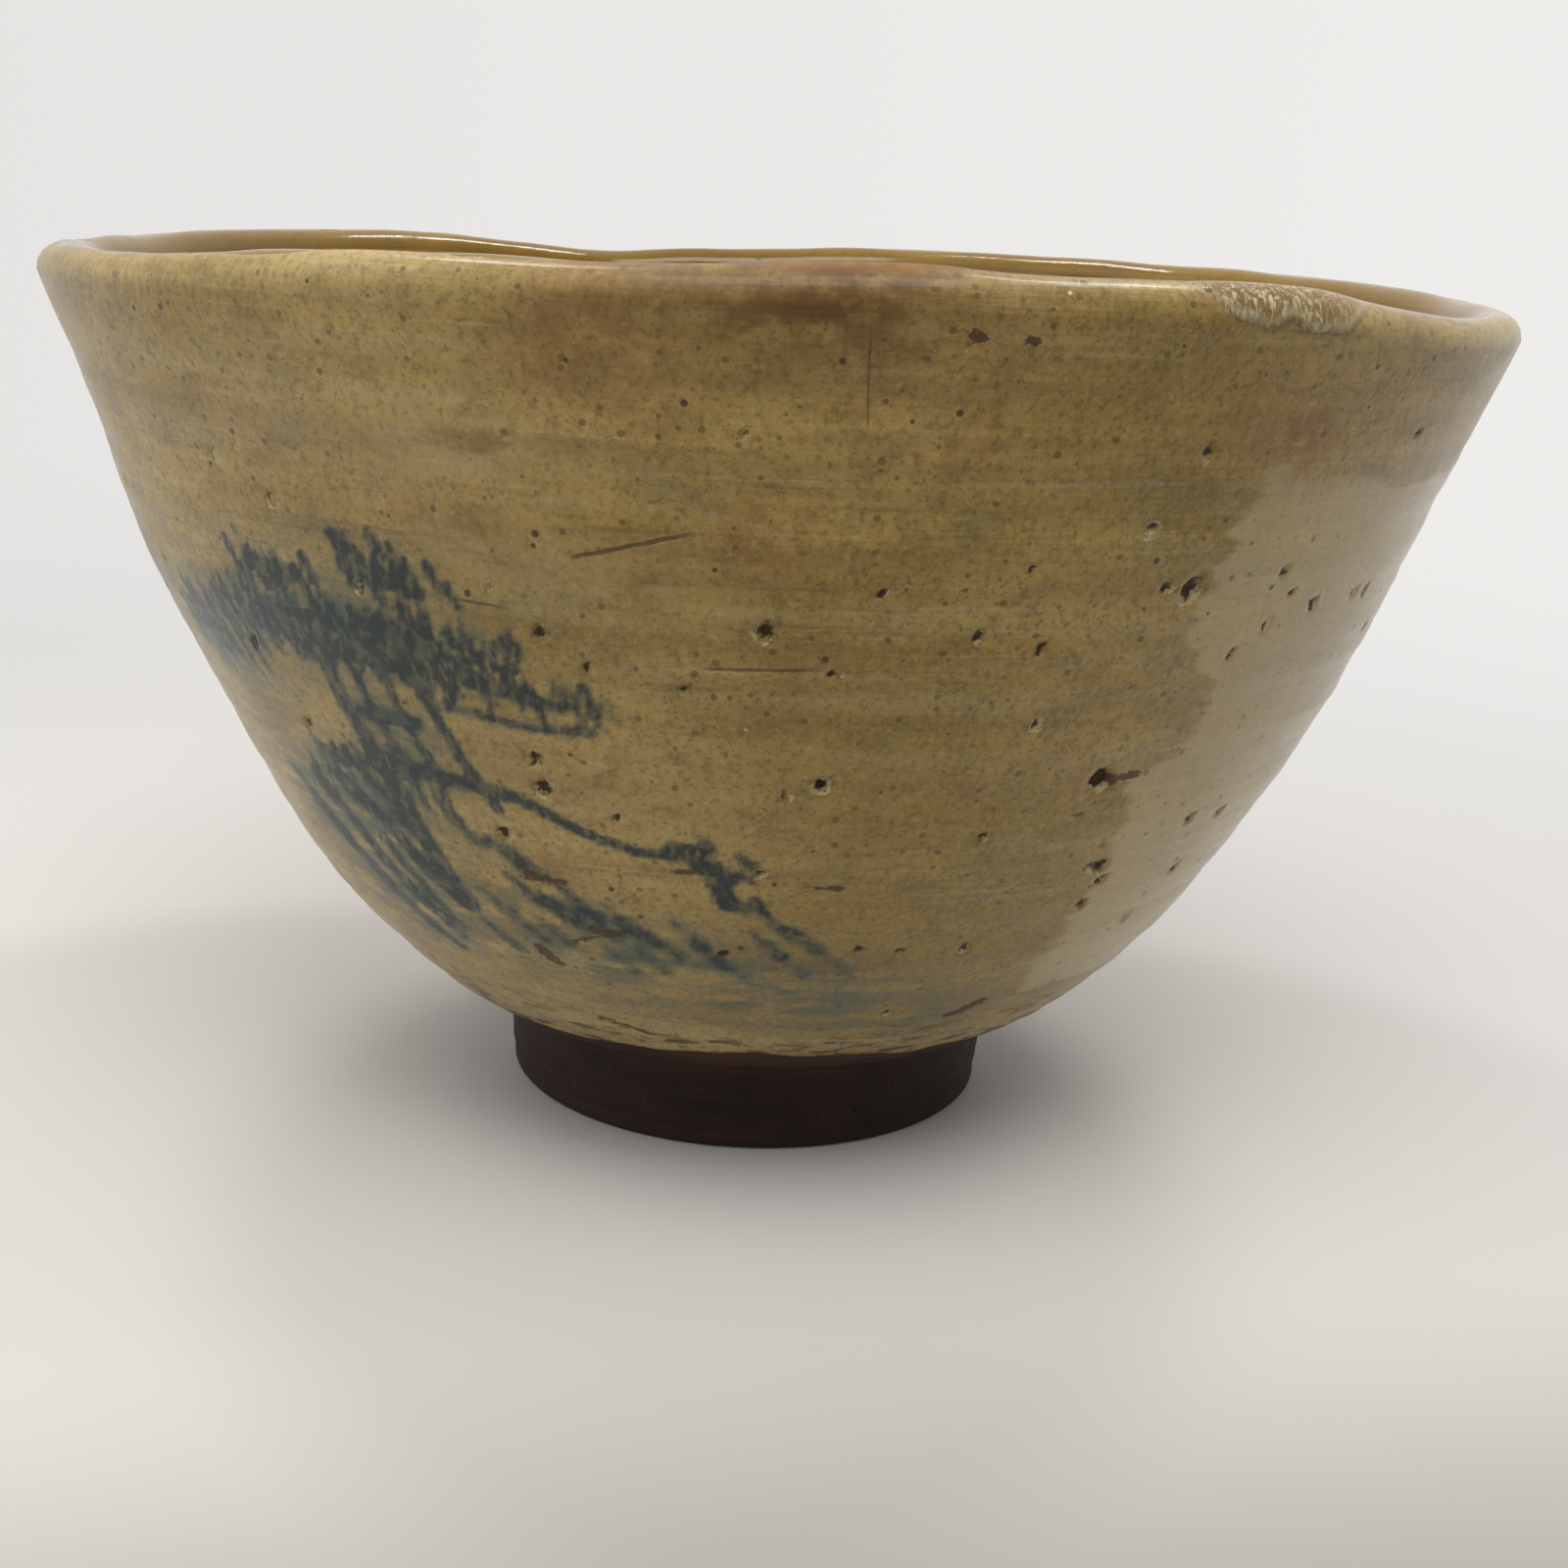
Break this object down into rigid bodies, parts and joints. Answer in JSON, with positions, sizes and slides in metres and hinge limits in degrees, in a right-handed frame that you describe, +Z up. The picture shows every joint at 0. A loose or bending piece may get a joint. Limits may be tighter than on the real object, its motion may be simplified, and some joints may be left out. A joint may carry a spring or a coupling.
{
  "type": "matcha bowl",
  "caption": "Conical stoneware tea bowl with a flaring, slightly wavy lip, a curved belly and a low bare foot ring; glazed inside and out.",
  "frame": {"origin": "centre of the foot ring's resting face", "axes": "+Z up out of the bowl, +X along the rim's widest diameter, -Y towards the front (the main painted face)"},
  "size_m": [0.137, 0.135, 0.0842],
  "materials": {
    "stoneware": "matt, bare fired clay",
    "slip_glaze": "semi-gloss, brushed slip under clear glaze",
    "ash_glaze": "gloss"
  },
  "bodies": {
    "root": {"clay_body": "stoneware", "foot_ring": "stoneware", "outer_glaze": "slip_glaze", "inner_glaze": "ash_glaze"}
  },
  "joints": []
}
